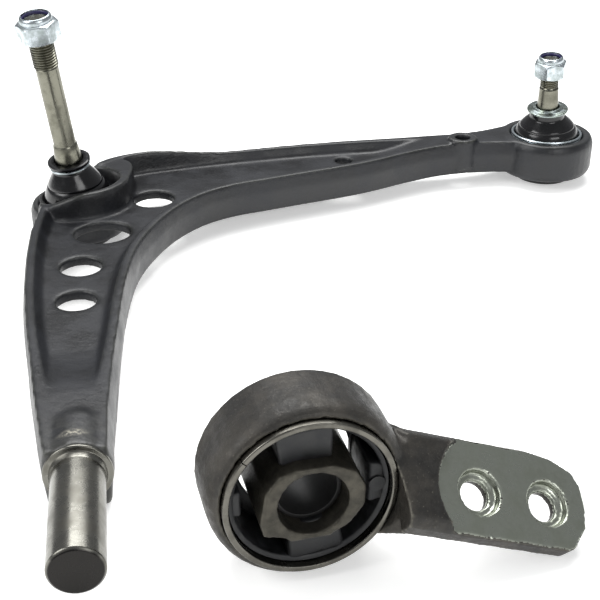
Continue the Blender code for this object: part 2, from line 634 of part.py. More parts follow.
def build_outer_joint(materials):
    seat, rock, stud = lean_frames("outer", OUTER_EYE, OUTER_LEAN)
    bpy.context.view_layer.update()
    cover_plate("outer", seat, materials["zinc_plate"])
    preload_spring("outer", seat, materials["turned_steel"])
    bearing_cup("outer", rock, materials["bearing_plastic"])
    shank = [(OUTER_TAPER_RADIUS, NECK_LENGTH + 4 * MM), (OUTER_TAPER_RADIUS, OUTER_TAPER_AT)]
    shank += [(OUTER_TAPER_END, OUTER_TAPER_TOP), (OUTER_THREAD_RADIUS, OUTER_TAPER_TOP + 1 * MM)]
    thread_end = OUTER_NUT_AT + OUTER_NUT_HEIGHT - 2.5 * MM
    shank += [(OUTER_THREAD_RADIUS, thread_end - 1 * MM), (OUTER_THREAD_RADIUS - 1 * MM, thread_end)]
    ball_stud("outer", stud, materials["turned_steel"], shank)
    lock_nut("outer", stud, materials["zinc_plate"], materials["nut_nylon"], OUTER_NUT_FLATS,
             OUTER_NUT_HEIGHT, OUTER_THREAD_RADIUS, OUTER_NUT_AT)
    neck = OUTER_BOOT_TOP
    profile = bell(OUTER_BOOT_BASE, neck, 1.8 * MM) + [(neck, 1)]
    boot("outer", seat, stud, materials["boot_rubber"], profile, OUTER_SEAT_RISE + GAP, OUTER_LIP_AT)
    bore = OUTER_TAPER_RADIUS + GAP
    low = OUTER_LIP_AT + GAP
    flange = 1.2 * MM
    profile = [(bore, low), (COLLAR_RADIUS, low), (COLLAR_RADIUS, low + flange)]
    profile += [(bore + 2.2 * MM, low + flange + 0.4 * MM), (bore + 1.6 * MM, low + COLLAR_HEIGHT)]
    profile += [(bore, low + COLLAR_HEIGHT)]
    add_object("outer_seal_collar", turned(profile, FINE_SEGMENTS, closed=True), materials["zinc_plate"], stud)
    base_ring("outer", seat, materials["zinc_plate"], OUTER_BOOT_BASE, OUTER_SEAT_RISE)


# ---------------------------------------------------------------- bracket and bush
def lug_matrix():
    """Origin at the near bolt hole on the milled face, X to the tip, Y up the slope, Z out of it."""
    turn = Matrix.Rotation(math.radians(LUG_TURN), 4, "Z")
    drop = Matrix.Rotation(math.radians(LUG_DROP), 4, "Y")
    twist = Matrix.Rotation(math.radians(LUG_TWIST), 4, "X")
    return Matrix.Translation(LUG_FACE_AT) @ turn @ drop @ twist


def bush_axis(bm):
    """Stand a piece that was turned about Z along the bush axis: its z = 0 is the front."""
    return moved(bm, Matrix.Rotation(math.radians(-90), 4, "X"))


def ring_body():
    low, high = RING_SETBACK, RING_SETBACK + RING_LENGTH
    inward, back = RING_CROWN
    profile = [(0, low)]
    for degrees in (0, 22, 45, 67, 90):
        turn = math.radians(degrees)
        profile.append((RING_RADIUS - inward * (1 - math.sin(turn)), low + back * (1 - math.cos(turn))))
    profile += [(RING_RADIUS, high - inward), (RING_RADIUS - inward, high), (0, high)]
    return bush_axis(turned(profile))


def lug_outline(reach, lower, upper):
    """The lug's plan on its own face, with a clipped and rounded tip."""
    clip = 0.42 * lower
    return [
        (-LUG_BACK - 16 * MM, -lower), (reach - 9 * MM, -lower), (reach - 6 * MM, -lower + 1.5 * MM),
        (reach, -clip), (reach + 0.8 * MM, 0.1 * upper), (reach - 0.5 * MM, 0.45 * upper),
        (reach - 4 * MM, 0.72 * upper), (reach - 14 * MM, 0.93 * upper), (reach - 26 * MM, upper),
        (-LUG_BACK - 16 * MM, upper),
    ]


def build_bracket(materials):
    frame = add_empty("bracket", Matrix.Translation((*BRACKET_AT, RING_RADIUS))
                      @ Matrix.Rotation(math.radians(BRACKET_TURN), 4, "Z"))
    place = lug_matrix()
    forging = add_object("bracket_forging", ring_body(), materials["forged_iron"], frame)

    slab = prism(lug_outline(LUG_REACH, LUG_LOWER, LUG_UPPER), -LUG_THICKNESS, LUG_RAISED)
    top_edges = [e for e in slab.edges if all(v.co.z > 0 for v in e.verts)]
    bmesh.ops.bevel(slab, geom=top_edges, offset=LUG_BEVEL, segments=1, affect="EDGES")
    lug = add_object("guide_lug", moved(slab, place), None, frame)
    combine(forging, lug, "UNION")

    ring_side = [Vector((0.62 * RING_RADIUS, depth, height))
                 for depth in (RING_SETBACK + 1 * MM, RING_SETBACK + RING_LENGTH - 1 * MM)
                 for height in (-0.62 * RING_RADIUS, 0.42 * RING_RADIUS)]
    root = -LUG_BACK - 2 * MM
    lug_side = [place @ Vector((root, across, level))
                for across in (-LUG_LOWER + 0.5 * MM, LUG_UPPER - 3 * MM)
                for level in (-LUG_THICKNESS + 0.5 * MM, LUG_RAISED - 1.5 * MM)]
    neck = bmesh.new()
    for point in ring_side + lug_side:
        neck.verts.new(point)
    bmesh.ops.convex_hull(neck, input=neck.verts)
    combine(forging, add_object("guide_neck", neck, None, frame), "UNION")

    bore = bush_axis(disc(SLEEVE_RADIUS + GAP, -30 * MM, RING_SETBACK + RING_LENGTH + 20 * MM))
    combine(forging, add_object("guide_ring_bore", bore, None, frame), "DIFFERENCE")

    reach = LUG_REACH + 12 * MM
    mill = arc(MILL_RADIUS, math.radians(100), math.radians(260), 12, (MILL_RADIUS - LUG_BACK, 0))
    mill += [(reach, -MILL_RADIUS), (reach, MILL_RADIUS)]
    milling = moved(prism(mill, 0, 30 * MM), place)
    combine(forging, add_object("guide_milling", milling, None, frame), "DIFFERENCE")

    for index in range(2):
        spot = Matrix.Translation((index * BOLT_SPACING, 0, 0))
        profile = [(0, -LUG_THICKNESS - 3 * THROUGH), (BOLT_HOLE_RADIUS, -LUG_THICKNESS - 3 * THROUGH)]
        profile += [(BOLT_HOLE_RADIUS, -BOLT_SEAT_DEPTH), (BOLT_SEAT_RADIUS, -BOLT_SEAT_DEPTH)]
        profile += [(BOLT_SEAT_RADIUS, THROUGH), (0, THROUGH)]
        drill = moved(turned(profile, FINE_SEGMENTS), place @ spot)
        combine(forging, add_object(f"guide_bolt_hole_{index + 1}", drill, None, frame), "DIFFERENCE")
    return frame


def core_outline():
    """The cast core's front, seen along the bush axis: broad and low, with clipped corners."""
    w, h = CORE_HALF_WIDTH, CORE_HALF_HEIGHT
    return [
        (-w, -0.35 * h), (-0.93 * w, -0.72 * h), (-0.55 * w, -0.84 * h), (-0.42 * w, -h), (0.30 * w, -h),
        (0.72 * w, -0.70 * h), (0.98 * w, -0.22 * h), (w, 0.25 * h), (0.80 * w, 0.72 * h),
        (0.38 * w, 0.98 * h), (-0.30 * w, h), (-0.62 * w, 0.88 * h), (-0.90 * w, 0.45 * h),
    ]


def grown(outline, gap):
    """An outline moved outward by about gap, for the rubber that is bonded round a piece."""
    return [tuple(Vector(p) + Vector(p).normalized() * gap) for p in outline]


def rubber_skin_radius():
    return SLEEVE_RADIUS - SLEEVE_WALL - GAP


def build_bush(materials, frame):
    sleeve = bush_axis(tube(SLEEVE_RADIUS, SLEEVE_RADIUS - SLEEVE_WALL, 0, SLEEVE_LENGTH))
    add_object("bush_outer_sleeve", sleeve, materials["turned_steel"], frame)

    low = (SLEEVE_LENGTH - RUBBER_LENGTH) / 2
    high = low + RUBBER_LENGTH
    outer = rubber_skin_radius()
    rubber = add_object("bush_rubber", bush_axis(tube(outer, outer - RUBBER_SKIN, low, high)),
                        materials["bush_rubber"], frame)
    within = outer - 0.3 * MM
    land = LAND_HALF_WIDTH
    foot = 1.15 * land
    reach = math.sqrt(within ** 2 - foot ** 2)
    pad = STOP_PAD_HALF_HEIGHT
    pad_reach = math.sqrt(within ** 2 - pad ** 2)
    room = within - CORE_HALF_WIDTH
    near = CORE_HALF_WIDTH + 0.25 * room
    far = CORE_HALF_WIDTH + 0.5 * room
    bars = {
        "upper_land": [(-land, 0), (land, 0), (foot, reach), (-foot, reach)],
        "lower_land": [(-land, 0), (-foot, -reach), (foot, -reach), (land, 0)],
        "near_stop": [(near, -pad), (pad_reach, -pad), (pad_reach, pad), (near, pad)],
        "far_stop": [(-far, 0.6 * pad), (-pad_reach, 0.6 * pad), (-pad_reach, -0.6 * pad), (-far, -0.6 * pad)],
    }
    for name, outline in bars.items():
        bar = bush_axis(prism([(x, -y) for x, y in outline], low + 0.8 * MM, high - 0.8 * MM))
        combine(rubber, add_object(f"guide_{name}", bar, None, frame), "UNION")
    web_back = high - BACK_WEB[0]
    web = bush_axis(disc(within, web_back - BACK_WEB[1], web_back))
    combine(rubber, add_object("guide_back_web", web, None, frame), "UNION")
    clearance = prism([(x, -y) for x, y in grown(core_outline(), GAP)], -THROUGH, CORE_LENGTH + THROUGH)
    combine(rubber, add_object("guide_core_room", bush_axis(clearance), None, frame), "DIFFERENCE")

    core_front = (SLEEVE_LENGTH - CORE_LENGTH) / 2
    body = prism([(x, -y) for x, y in core_outline()], core_front, core_front + CORE_LENGTH)
    core = add_object("bush_inner_core", bush_axis(body), materials["core_casting"], frame)
    hole = bush_axis(disc(CORE_BORE_RADIUS, core_front - THROUGH, core_front + CORE_LENGTH + THROUGH,
                          FINE_SEGMENTS))
    combine(core, add_object("guide_core_bore", hole, None, frame), "DIFFERENCE")
    liner = tube(CORE_BORE_RADIUS - GAP, PIN_RADIUS + GAP, core_front + LINER_SETBACK,
                 core_front + CORE_LENGTH - 1 * MM, FINE_SEGMENTS)
    add_object("bush_bore_liner", bush_axis(liner), materials["turned_steel"], frame)


def main():
    clear_scene()
    materials = make_materials()
    build_arm(materials)
    build_inner_joint(materials)
    build_outer_joint(materials)
    bracket = build_bracket(materials)
    build_bush(materials, bracket)
    pin_end = add_empty("pin_end", Matrix.Translation((0, 0, -PIN_AXIS_Z)))
    for obj in bpy.data.objects:
        if obj.parent is None and obj != pin_end:
            obj.parent = pin_end


main()
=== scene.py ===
"""Looks of the control arm with its two ball joints, and of the bracket and bush for its rear pin."""

import math

import bpy
from mathutils import Matrix, Quaternion, Vector


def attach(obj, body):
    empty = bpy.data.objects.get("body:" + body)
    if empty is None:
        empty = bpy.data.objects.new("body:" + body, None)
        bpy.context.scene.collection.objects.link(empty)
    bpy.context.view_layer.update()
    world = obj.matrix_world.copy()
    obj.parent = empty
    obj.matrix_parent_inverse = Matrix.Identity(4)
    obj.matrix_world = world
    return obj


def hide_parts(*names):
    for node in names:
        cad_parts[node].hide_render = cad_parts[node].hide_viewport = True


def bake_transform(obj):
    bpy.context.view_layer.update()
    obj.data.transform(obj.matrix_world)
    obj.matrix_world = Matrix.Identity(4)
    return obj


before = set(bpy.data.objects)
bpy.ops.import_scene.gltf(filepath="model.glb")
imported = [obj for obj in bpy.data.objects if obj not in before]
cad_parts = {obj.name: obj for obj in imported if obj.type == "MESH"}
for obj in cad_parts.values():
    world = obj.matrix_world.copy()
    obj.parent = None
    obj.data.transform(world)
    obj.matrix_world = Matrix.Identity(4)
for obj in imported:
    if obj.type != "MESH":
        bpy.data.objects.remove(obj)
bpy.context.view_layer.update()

MM = 0.001
TABLE_Z = -19.5 * MM

# ball centres, and how far the studs lean at rest: degrees towards -Y, degrees towards -X
INNER_CENTRE = Vector((-2.5, 326, 1.5)) * MM
OUTER_CENTRE = Vector((311, 377, 1.5)) * MM
INNER_LEAN = (8.5, 6.0)
OUTER_LEAN = (6.0, 4.5)

# rest of the ball joints' sizes: mm, heights above the ball centre
BALL_RADIUS = 11
BALL_NECK = (5.5, 15)             # radius, height of the shank's foot
INNER_FOOT = 2.3                  # foot of the boot
OUTER_FOOT = 6.8
INNER_BOOT_TOP = 32.5
OUTER_BOOT_TOP = 27.5
INNER_THREAD = 6.95               # radius
OUTER_THREAD = 5.95
INNER_NUT_AT = 108
OUTER_NUT_AT = 52
BOOT_NECK = 0.80                  # share of a boot's height where its neck starts
BOOT_FOLD = 0.46                  # share of its height where its two bands meet

# rear pin and the paint round it: mm along Y
SHOULDER_AT = 57.0
GREYED_FROM = 60                  # the paint is greyest here and clean at the other
GREYED_TO = 104
SCRAPE_AT = 66.5
SCRAPE_HALF = (8.5, 3.5)          # across, along

# front of the bush axis, and its turn about Z
BUSH_FRONT = Vector((85.5, 3.5, 18.5)) * MM
BUSH_TURN = 5.9

# the lug's milled face: near bolt hole, then turns about Z, Y and X in degrees
LUG_HOLE = Vector((65.2, -1.3, -8.5)) * MM
LUG_TURNS = (-2.2, 20.2, 34.1)
BOLT_SPACING = 30.4 * MM

ROUND_STEPS = 96                  # round a turned piece
BUSH_STEPS = 128                  # round the bush's sleeve and rubber


# ---------------------------------------------------------------- modelling helpers
def deselect():
    if bpy.context.mode != "OBJECT":
        bpy.ops.object.mode_set(mode="OBJECT")
    bpy.ops.object.select_all(action="DESELECT")


def take(obj):
    deselect()
    obj.select_set(True)
    bpy.context.view_layer.objects.active = obj


def finish_with(obj, kind, **settings):
    """Add a modifier with its settings and apply it."""
    modifier = obj.modifiers.new(kind.title(), kind)
    for key, value in settings.items():
        setattr(modifier, key, value)
    take(obj)
    bpy.ops.object.modifier_apply(modifier=modifier.name)


def put(obj, matrix):
    """Set a piece in its place and leave its object at the origin."""
    obj.matrix_world = matrix
    take(obj)
    bpy.ops.object.transform_apply(location=True, rotation=True, scale=True)


def smooth(obj, angle=35):
    take(obj)
    bpy.ops.object.shade_smooth_by_angle(angle=math.radians(angle))


def tidy_mesh(obj, distance=1e-6):
    take(obj)
    bpy.ops.object.mode_set(mode="EDIT")
    bpy.ops.mesh.select_all(action="SELECT")
    bpy.ops.mesh.remove_doubles(threshold=distance)
    bpy.ops.mesh.normals_make_consistent(inside=False)
    bpy.ops.object.mode_set(mode="OBJECT")


def softened(outline, radius, closed=False, steps=3):
    """Round the corners of a (radius, height) outline, in mm. The ends of an open one stay."""
    count = len(outline)
    points = []
    for i, corner in enumerate(outline):
        if not closed and i in (0, count - 1):
            points.append(corner)
            continue
        here = Vector(corner)
        back = Vector(outline[i - 1]) - here
        on = Vector(outline[(i + 1) % count]) - here
        size = min(radius, 0.45 * back.length, 0.45 * on.length)
        start = here + back.normalized() * size
        end = here + on.normalized() * size
        for k in range(steps + 1):
            t = k / steps
            points.append(tuple(start * (1 - t) ** 2 + here * 2 * t * (1 - t) + end * t ** 2))
    return points


def turned(name, outline, steps=ROUND_STEPS, closed=False):
    """Draw a (radius, height) outline in mm by extruding one vertex, and spin it round Z."""
    deselect()
    bpy.ops.mesh.primitive_plane_add(size=MM)
    obj = bpy.context.object
    obj.name = name
    bpy.ops.object.mode_set(mode="EDIT")
    bpy.ops.mesh.select_all(action="SELECT")
    bpy.ops.mesh.merge(type="CENTER")
    path = list(outline) + ([outline[0]] if closed else [])
    bpy.ops.transform.translate(value=(path[0][0] * MM, 0, path[0][1] * MM))
    for here, there in zip(path, path[1:]):
        step = ((there[0] - here[0]) * MM, 0, (there[1] - here[1]) * MM)
        bpy.ops.mesh.extrude_region_move(TRANSFORM_OT_translate={"value": step})
    bpy.ops.mesh.select_all(action="SELECT")
    bpy.ops.mesh.spin(steps=steps, angle=2 * math.pi, center=(0, 0, 0), axis=(0, 0, 1))
    bpy.ops.object.mode_set(mode="OBJECT")
    tidy_mesh(obj)
    smooth(obj)
    return obj


def cad_copy(node, name):
    """A merged copy of a CAD node's mesh, to be worked further."""
    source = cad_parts[node]
    obj = bpy.data.objects.new(name, source.data.copy())
    bpy.context.scene.collection.objects.link(obj)
    obj.data.materials.clear()
    tidy_mesh(obj, 1e-6)
    return obj


def forged_skin(obj, grain, passes, factor=0.5):
    """Remesh finely and relax, which rounds every edge the way a die or mould does."""
    finish_with(obj, "REMESH", mode="VOXEL", voxel_size=grain * MM, use_smooth_shade=True)
    finish_with(obj, "SMOOTH", factor=factor, iterations=passes)


def cut_with(obj, tool, operation="DIFFERENCE"):
    finish_with(obj, "BOOLEAN", operation=operation, object=tool, solver="EXACT")
    bpy.data.objects.remove(tool, do_unlink=True)


def join(*pieces):
    take(pieces[0])
    for piece in pieces[1:]:
        piece.select_set(True)
    bpy.ops.object.join()
    return pieces[0]


def block(name, corners, ends, edge):
    """A moulded block: a cube's four sides set to plan corners, its edges bevelled, in mm."""
    deselect()
    bpy.ops.mesh.primitive_cube_add(size=2)
    obj = bpy.context.object
    obj.name = name
    order = {(-1, -1): 0, (1, -1): 1, (1, 1): 2, (-1, 1): 3}
    for vert in obj.data.vertices:
        x, y = corners[order[(round(vert.co.x), round(vert.co.y))]]
        vert.co = Vector((x, y, ends[0] if vert.co.z < 0 else ends[1])) * MM
    tidy_mesh(obj)
    finish_with(obj, "BEVEL", width=edge * MM, segments=4, limit_method="ANGLE",
                angle_limit=math.radians(30))
    smooth(obj, 40)
    return obj


def dress(obj, materials, body=None, nodes=()):
    """Give a piece its materials, its body and the CAD nodes it stands for."""
    obj.data.materials.clear()
    for material in materials:
        obj.data.materials.append(material)
    if body:
        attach(obj, body)
    if nodes:
        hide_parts(*nodes)
    return obj


# ---------------------------------------------------------------- material helpers
def hex_colour(text):
    """An sRGB hex colour as linear values."""
    values = [int(text[i:i + 2], 16) / 255 for i in (0, 2, 4)]
    linear = [v / 12.92 if v <= 0.04045 else ((v + 0.055) / 1.055) ** 2.4 for v in values]
    return (*linear, 1)


def add_node(tree, kind, links=None, **settings):
    """Add a node, set its properties or inputs, and link inputs to other nodes' outputs."""
    node = tree.nodes.new(kind)
    for key, value in settings.items():
        if hasattr(node, key):
            setattr(node, key, value)
        else:
            node.inputs[key.replace("_", " ")].default_value = value
    for socket, source in (links or {}).items():
        tree.links.new(source, node.inputs[socket])
    return node


def new_finish(name, colour, roughness, metallic=0.0):
    material = bpy.data.materials.new(name)
    material.use_nodes = True
    tree = material.node_tree
    shader = tree.nodes["Principled BSDF"]
    shader.inputs["Base Color"].default_value = hex_colour(colour)
    shader.inputs["Roughness"].default_value = roughness
    shader.inputs["Metallic"].default_value = metallic
    coords = add_node(tree, "ShaderNodeTexCoord").outputs["Object"]
    return material, tree, shader, coords


def cloudy(tree, coords, size_mm, detail=4.0, roughness=0.6):
    """Noise whose blotches are about size_mm across."""
    node = add_node(tree, "ShaderNodeTexNoise", {"Vector": coords}, Scale=1 / (size_mm * MM), Detail=detail,
                    Roughness=roughness)
    return node.outputs["Fac"]


def spread(tree, value, low, high, to_low, to_high):
    node = add_node(tree, "ShaderNodeMapRange", {"Value": value}, interpolation_type="SMOOTHSTEP")
    for key, amount in (("From Min", low), ("From Max", high), ("To Min", to_low), ("To Max", to_high)):
        node.inputs[key].default_value = amount
    return node.outputs["Result"]


def blend_colours(tree, factor, first, second):
    """Mix two colours, each a hex text or another node's output."""
    node = tree.nodes.new("ShaderNodeMix")
    node.data_type = "RGBA"
    tree.links.new(factor, node.inputs[0])
    for index, colour in ((6, first), (7, second)):
        if isinstance(colour, str):
            node.inputs[index].default_value = hex_colour(colour)
        else:
            tree.links.new(colour, node.inputs[index])
    return node.outputs[2]


def raise_bump(tree, shader, heights):
    """Stack bumps on the shader: each is (height output, depth in mm)."""
    normal = None
    for height, depth in heights:
        bump = add_node(tree, "ShaderNodeBump", {"Height": height}, Strength=1.0, Distance=depth * MM)
        if normal:
            tree.links.new(normal, bump.inputs["Normal"])
        normal = bump.outputs["Normal"]
    tree.links.new(normal, shader.inputs["Normal"])


def axis_value(tree, coords, axis):
    return add_node(tree, "ShaderNodeSeparateXYZ", {"Vector": coords}).outputs[axis]


def maths(tree, operation, first, second):
    node = tree.nodes.new("ShaderNodeMath")
    node.operation = operation
    for index, value in ((0, first), (1, second)):
        if isinstance(value, (int, float)):
            node.inputs[index].default_value = value
        else:
            tree.links.new(value, node.inputs[index])
    return node.outputs[0]


# edge mask: rubbed wear on the bracket and the core, rubbed wear mixed with painted highlight on the arm
def edge_wear_and_highlight_mask(tree, low=0.52, high=0.60):
    """1 on sharp outer edges, from the mesh's own curvature."""
    point = add_node(tree, "ShaderNodeNewGeometry").outputs["Pointiness"]
    return spread(tree, point, low, high, 0.0, 1.0)


# ---------------------------------------------------------------- finishes
def satin_chassis_paint():
    """Dipped satin black over a forged skin: soft broad highlights, faint scale texture under the
    film, paler where edges stand out (rubbed wear mixed with a painted highlight), greyed beside
    the pin, and scraped to bright metal in one small speckled patch above the pin's shoulder."""
    material, tree, shader, coords = new_finish("satin_chassis_paint", "0e1013", 0.40)
    patches = cloudy(tree, coords, 22, 5)
    fine = cloudy(tree, coords, 1.6, 6, 0.7)
    scale = cloudy(tree, coords, 5.0, 4)
    paint = blend_colours(tree, spread(tree, patches, 0.35, 0.65, 0, 1), "0b0c0f", "14161b")
    paint = blend_colours(tree, spread(tree, fine, 0.60, 0.74, 0, 0.35), paint, "2a2b28")
    # painted highlight mixed with rubbed wear: the arm's sharp edges are mixed half way to pale olive 45463f
    edges_rubbed_and_highlit = blend_colours(tree, maths(tree, "MULTIPLY", edge_wear_and_highlight_mask(tree, 0.515, 0.56), 0.5), paint, "45463f")
    along = axis_value(tree, coords, 1)
    near_pin = spread(tree, along, GREYED_FROM * MM, GREYED_TO * MM, 1.0, 0.0)
    worn = maths(tree, "MULTIPLY", near_pin, spread(tree, scale, 0.38, 0.58, 0.25, 1.0))
    greyed = blend_colours(tree, maths(tree, "MULTIPLY", worn, 0.30), edges_rubbed_and_highlit, "4c4c47")
    across_half, along_half = SCRAPE_HALF
    patch = add_node(tree, "ShaderNodeMapping", {"Vector": coords})
    patch.inputs["Location"].default_value = (0.1, -SCRAPE_AT / along_half, 0.0)
    patch.inputs["Scale"].default_value = (1 / (across_half * MM), 1 / (along_half * MM), 0.001)
    far = add_node(tree, "ShaderNodeVectorMath", {"Vector": patch.outputs["Vector"]}, operation="LENGTH")
    ragged = maths(tree, "ADD", far.outputs["Value"], maths(tree, "MULTIPLY", fine, 1.6))
    scrape = spread(tree, ragged, 1.25, 1.75, 0.8, 0.0)
    above = spread(tree, axis_value(tree, coords, 2), 0.005, 0.009, 0.0, 1.0)
    scrape = maths(tree, "MULTIPLY", scrape, above)
    scrape = maths(tree, "MULTIPLY", scrape, spread(tree, fine, 0.46, 0.60, 0.08, 1.0))
    tree.links.new(blend_colours(tree, scrape, greyed, "a39f92"), shader.inputs["Base Color"])
    tree.links.new(spread(tree, patches, 0.3, 0.7, 0.34, 0.50), shader.inputs["Roughness"])
    tree.links.new(maths(tree, "MULTIPLY", scrape, 0.8), shader.inputs["Metallic"])
    raise_bump(tree, shader, [(scale, 0.25), (fine, 0.10)])
    return material


def turned_bare_steel(name, axis, tint="73726c", stain="5c5a53", end=None):
    """Ground and oiled steel bar: soft streaks along it, fine tool rings round it, faint brown oil
    staining, and where an end colour is given, painted shade darkening its end face."""
    material, tree, shader, coords = new_finish(name, tint, 0.25, 1.0)
    stains = cloudy(tree, coords, 9, 5)
    fine = cloudy(tree, coords, 0.8, 3)
    colour = blend_colours(tree, spread(tree, stains, 0.42, 0.70, 0, 0.7), tint, stain)
    along = axis_value(tree, coords, axis)
    if end:
        # painted shade: the first millimetre from the end is mixed to the dark end colour
        colour = blend_colours(tree, spread(tree, along, 0.0001, 0.0009, 1.0, 0.0), colour, end)
    tree.links.new(colour, shader.inputs["Base Color"])
    tree.links.new(spread(tree, stains, 0.3, 0.7, 0.20, 0.36), shader.inputs["Roughness"])
    rings = maths(tree, "SINE", maths(tree, "MULTIPLY", along, 2 * math.pi / (0.7 * MM)), 0)
    raise_bump(tree, shader, [(rings, 0.004), (fine, 0.012)])
    return material


def zinc_plated_steel(name="zinc_plated_steel", tint="c3cbd0"):
    """Bright zinc: cool bluish silver, cloudy where the passivation varies."""
    material, tree, shader, coords = new_finish(name, tint, 0.28, 1.0)
    clouds = cloudy(tree, coords, 4, 4)
    fine = cloudy(tree, coords, 0.7, 3)
    colour = blend_colours(tree, spread(tree, clouds, 0.35, 0.68, 0, 1), tint, "9aa3a3")
    tree.links.new(colour, shader.inputs["Base Color"])
    tree.links.new(spread(tree, clouds, 0.3, 0.7, 0.22, 0.38), shader.inputs["Roughness"])
    raise_bump(tree, shader, [(fine, 0.02)])
    return material


def phosphated_wire_and_bore_shade():
    """Spring wire with a black phosphate coat: dark, dull and cloudy; on the bore liner the same finish is
    painted shade that keeps the bore dark.
    """
    material, tree, shader, coords = new_finish("phosphated_wire_and_bore_shade", "1b1b1c", 0.5, 0.4)
    cloud = cloudy(tree, coords, 2)
    tree.links.new(blend_colours(tree, cloud, "151516", "2b2b2a"), shader.inputs["Base Color"])
    raise_bump(tree, shader, [(cloud, 0.02)])
    return material


def lock_ring_nylon():
    """Violet-blue nylon 66: smooth, slightly waxy."""
    material, tree, shader, coords = new_finish("lock_ring_nylon", "2f2c55", 0.38)
    cloud = cloudy(tree, coords, 2)
    tree.links.new(blend_colours(tree, cloud, "282549", "3a3763"), shader.inputs["Base Color"])
    raise_bump(tree, shader, [(cloud, 0.02)])
    return material


def boot_neoprene():
    """Moulded neoprene, wiped with grease: deep black, wet-looking, faint flow waviness."""
    material, tree, shader, coords = new_finish("boot_neoprene", "09090a", 0.2)
    wave = cloudy(tree, coords, 7, 3)
    fine = cloudy(tree, coords, 0.9, 4)
    tree.links.new(blend_colours(tree, wave, "060607", "0e0e10"), shader.inputs["Base Color"])
    tree.links.new(spread(tree, wave, 0.3, 0.7, 0.14, 0.26), shader.inputs["Roughness"])
    raise_bump(tree, shader, [(wave, 0.10), (fine, 0.012)])
    return material


def bush_natural_rubber():
    """Moulded natural rubber with carbon black: matt blue-black, dusty bloom on its faces."""
    material, tree, shader, coords = new_finish("bush_natural_rubber", "1c1e22", 0.55)
    bloom = cloudy(tree, coords, 5, 5)
    fine = cloudy(tree, coords, 0.8, 4)
    tree.links.new(blend_colours(tree, spread(tree, bloom, 0.35, 0.7, 0, 1), "0c0d0e", "17181b"),
                   shader.inputs["Base Color"])
    tree.links.new(spread(tree, bloom, 0.3, 0.7, 0.42, 0.62), shader.inputs["Roughness"])
    raise_bump(tree, shader, [(bloom, 0.12), (fine, 0.05)])
    return material


def core_die_casting():
    """Die-cast aluminium, left to dull: grey-brown, fine grain, brighter on its corners."""
    material, tree, shader, coords = new_finish("core_die_casting", "6a675e", 0.46, 0.7)
    clouds = cloudy(tree, coords, 6, 5)
    grain = cloudy(tree, coords, 1.1, 5, 0.7)
    colour = blend_colours(tree, spread(tree, clouds, 0.35, 0.68, 0, 1), "35332d", "4a473f")
    colour = blend_colours(tree, maths(tree, "MULTIPLY", edge_wear_and_highlight_mask(tree, 0.52, 0.58), 0.6), colour, "6c695f")
    tree.links.new(colour, shader.inputs["Base Color"])
    tree.links.new(spread(tree, grain, 0.3, 0.7, 0.38, 0.56), shader.inputs["Roughness"])
    raise_bump(tree, shader, [(clouds, 0.15), (grain, 0.08)])
    return material


def drop_forged_iron():
    """Drop-forged bracket, oiled over its scale: warm dark grey, pitted, rubbed bright on edges."""
    material, tree, shader, coords = new_finish("drop_forged_iron", "45423e", 0.5, 0.55)
    clouds = cloudy(tree, coords, 14, 5)
    scale = cloudy(tree, coords, 3.2, 5, 0.65)
    grit = cloudy(tree, coords, 0.9, 4, 0.7)
    colour = blend_colours(tree, spread(tree, clouds, 0.35, 0.68, 0, 1), "2b2a28", "3d3a35")
    colour = blend_colours(tree, spread(tree, grit, 0.60, 0.72, 0, 0.6), colour, "6b685f")
    rubbed = maths(tree, "MULTIPLY", edge_wear_and_highlight_mask(tree, 0.52, 0.57), 0.55)
    colour = blend_colours(tree, rubbed, colour, "7a776c")
    tree.links.new(colour, shader.inputs["Base Color"])
    tree.links.new(spread(tree, scale, 0.3, 0.7, 0.38, 0.58), shader.inputs["Roughness"])
    raise_bump(tree, shader, [(scale, 0.28), (grit, 0.10)])
    return material


def milled_steel():
    """A face-milled seat: plain, faintly green-grey, oiled, a little uneven."""
    material, tree, shader, coords = new_finish("milled_steel", "a0a499", 0.36, 1.0)
    clouds = cloudy(tree, coords, 8, 4)
    fine = cloudy(tree, coords, 0.7, 3)
    colour = blend_colours(tree, spread(tree, clouds, 0.35, 0.68, 0, 1), "a5a99e", "8b8f84")
    tree.links.new(colour, shader.inputs["Base Color"])
    tree.links.new(spread(tree, clouds, 0.3, 0.7, 0.26, 0.42), shader.inputs["Roughness"])
    raise_bump(tree, shader, [(clouds, 0.05), (fine, 0.015)])
    return material


def bearing_acetal():
    """Moulded acetal: off-white, waxy, hardly textured."""
    material, tree, shader, coords = new_finish("bearing_acetal", "d8d3c4", 0.40)
    cloud = cloudy(tree, coords, 3)
    tree.links.new(blend_colours(tree, cloud, "d2ccbb", "e0dccf"), shader.inputs["Base Color"])
    raise_bump(tree, shader, [(cloud, 0.02)])
    return material


PAINT = satin_chassis_paint()
# end= gives the pin's end face its painted shade
PIN_STEEL = turned_bare_steel("turned_pin_steel", 1, end="2b2a29")
STUD_STEEL = turned_bare_steel("ground_stud_steel", 2, "77766b", "56554b")
SLEEVE_STEEL = turned_bare_steel("drawn_sleeve_steel", 1, "65635d", "4c4a45")
ZINC = zinc_plated_steel()
COLLAR_ZINC = zinc_plated_steel("dull_zinc_collar", "7f877e")
# the black phosphated finish: real for the clamp ring's wire, painted shade on the bore liner
BLACK_WIRE_AND_BORE_SHADE = phosphated_wire_and_bore_shade()
NYLON = lock_ring_nylon()
BOOT = boot_neoprene()
RUBBER = bush_natural_rubber()
CORE = core_die_casting()
IRON = drop_forged_iron()
MILLED = milled_steel()
ACETAL = bearing_acetal()


